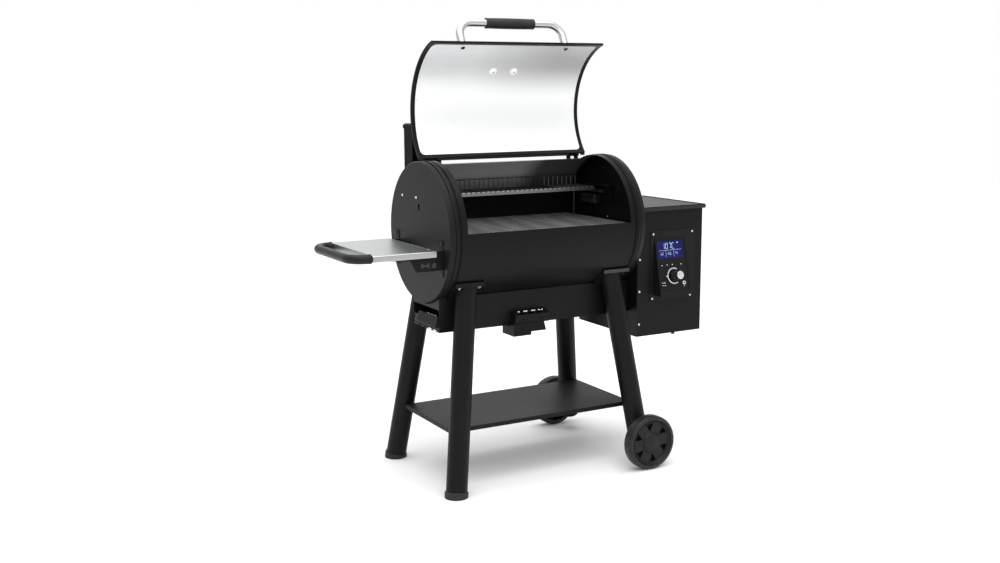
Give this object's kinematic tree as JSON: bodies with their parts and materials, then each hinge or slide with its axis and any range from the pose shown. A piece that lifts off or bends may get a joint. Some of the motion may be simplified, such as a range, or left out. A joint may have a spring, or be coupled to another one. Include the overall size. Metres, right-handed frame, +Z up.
{
  "type": "pellet smoker grill",
  "caption": "Barrel pellet smoker grill on splayed tube legs with open curved lid, side pellet hopper with control panel, folding-out trays and a side shelf.",
  "frame": {"origin": "middle of the overall footprint box, on the ground", "axes": "+Z up, -Y towards the front, +X towards the pellet hopper"},
  "size_m": [1.457, 0.728, 1.6506],
  "materials": {
    "black_powder_coat": "satin",
    "black_hardware": "matt",
    "dark_steel": "heat-darkened",
    "cast_iron_grate": "matt enamel",
    "polished_liner": "polished",
    "stainless_tube": "satin",
    "stainless_shelf": "brushed",
    "galvanised_steel": "spangled",
    "rack_wire": "dull plated",
    "black_rubber": "fine matt",
    "black_plastic": "fine grain",
    "wheel_plastic": "moulded",
    "knob_black": "satin",
    "white_button": "satin",
    "blue_display": "gloss"
  },
  "bodies": {
    "grill_frame": {"chamber_shell": "black_powder_coat", "end_cap_left": "black_powder_coat", "end_cap_right": "black_powder_coat", "hinge_left": "black_hardware", "hinge_right": "black_hardware", "grate_left": "cast_iron_grate", "grate_middle": "cast_iron_grate", "grate_right": "cast_iron_grate", "warming_rack": "rack_wire", "drip_pan": "dark_steel", "heat_deflector": "dark_steel", "firepot": "dark_steel", "auger_tube": "galvanised_steel", "igniter": "stainless_tube", "auger_motor": "galvanised_steel", "hopper_body": "black_powder_coat", "hopper_funnel": "galvanised_steel", "hopper_guard": "rack_wire", "blower_housing": "galvanised_steel", "power_inlet": "black_plastic", "control_housing": "black_hardware", "control_face": "black_plastic", "display_window": "blue_display", "trough": "black_powder_coat", "ash_cowl": "black_powder_coat", "saddle_front_left": "black_powder_coat", "saddle_rear_left": "black_powder_coat", "saddle_front_right": "black_powder_coat", "saddle_rear_right": "black_powder_coat", "leg_front_left": "black_powder_coat", "leg_rear_left": "black_powder_coat", "leg_front_right": "black_powder_coat", "leg_rear_right": "black_powder_coat", "foot_front_left": "black_rubber", "foot_rear_left": "black_rubber", "axle_front": "black_plastic", "axle_rear": "black_plastic", "bottom_shelf": "black_powder_coat", "side_shelf": "stainless_shelf", "shelf_handle": "black_plastic", "shelf_bracket_front": "black_powder_coat", "shelf_bracket_rear": "black_powder_coat", "chimney": "black_powder_coat", "chimney_cap": "black_powder_coat"},
    "lid": {"lid_shell": "black_powder_coat", "lid_liner": "polished_liner", "lid_handle": "stainless_tube", "lid_grip": "black_rubber"},
    "hopper_lid": {"hopper_lid": "black_powder_coat"},
    "knob": {"control_knob": "knob_black"},
    "button_1": {"button_1": "white_button"},
    "button_2": {"button_2": "white_button"},
    "button_3": {"button_3": "white_button"},
    "button_4": {"button_4": "white_button"},
    "auger": {"auger_screw": "galvanised_steel"},
    "fan": {"blower_wheel": "black_plastic"},
    "grease_tray": {"grease_tray": "black_powder_coat"},
    "ash_bin": {"ash_bin": "black_powder_coat"},
    "wheel_front": {"wheel_front": "wheel_plastic"},
    "wheel_rear": {"wheel_rear": "wheel_plastic"}
  },
  "joints": [
    {"name": "lid_hinge", "type": "hinge", "parent": "grill_frame", "child": "lid", "pos_m": [0.0155, 0.104, 1.144], "axis": [1, 0, 0], "range_deg": [0, 106.7]},
    {"name": "hopper_lid_hinge", "type": "hinge", "parent": "grill_frame", "child": "hopper_lid", "pos_m": [0.5725, 0.2095, 0.951], "axis": [-1, 0, 0], "range_deg": [0, 95]},
    {"name": "knob_turn", "type": "hinge", "parent": "grill_frame", "child": "knob", "pos_m": [0.5675, -0.24054, 0.69814], "axis": [0, -0.9771, 0.2126], "continuous": true},
    {"name": "button_1_press", "type": "slide", "parent": "grill_frame", "child": "button_1", "axis": [0, 0.9771, -0.2126], "range_m": [0, 0.001], "stiffness_N_per_m": 400},
    {"name": "button_2_press", "type": "slide", "parent": "grill_frame", "child": "button_2", "axis": [0, 0.9771, -0.2126], "range_m": [0, 0.001], "stiffness_N_per_m": 400},
    {"name": "button_3_press", "type": "slide", "parent": "grill_frame", "child": "button_3", "axis": [0, 0.9771, -0.2126], "range_m": [0, 0.001], "stiffness_N_per_m": 400},
    {"name": "button_4_press", "type": "slide", "parent": "grill_frame", "child": "button_4", "axis": [0, 0.9771, -0.2126], "range_m": [0, 0.001], "stiffness_N_per_m": 400},
    {"name": "auger_turn", "type": "hinge", "parent": "grill_frame", "child": "auger", "pos_m": [0.3155, -0.05, 0.705], "axis": [1, 0, 0], "continuous": true},
    {"name": "fan_turn", "type": "hinge", "parent": "grill_frame", "child": "fan", "pos_m": [0.5755, 0.02, 0.556], "axis": [0, 1, 0], "continuous": true},
    {"name": "grease_tray_slide", "type": "slide", "parent": "grill_frame", "child": "grease_tray", "axis": [-1, 0, 0], "range_m": [0, 0.17]},
    {"name": "ash_bin_slide", "type": "slide", "parent": "grill_frame", "child": "ash_bin", "axis": [0, -1, 0], "range_m": [0, 0.08]},
    {"name": "wheel_front_turn", "type": "hinge", "parent": "grill_frame", "child": "wheel_front", "pos_m": [0.3835, -0.338, 0.1015], "axis": [0, 1, 0], "continuous": true},
    {"name": "wheel_rear_turn", "type": "hinge", "parent": "grill_frame", "child": "wheel_rear", "pos_m": [0.3835, 0.338, 0.1015], "axis": [0, 1, 0], "continuous": true}
  ]
}
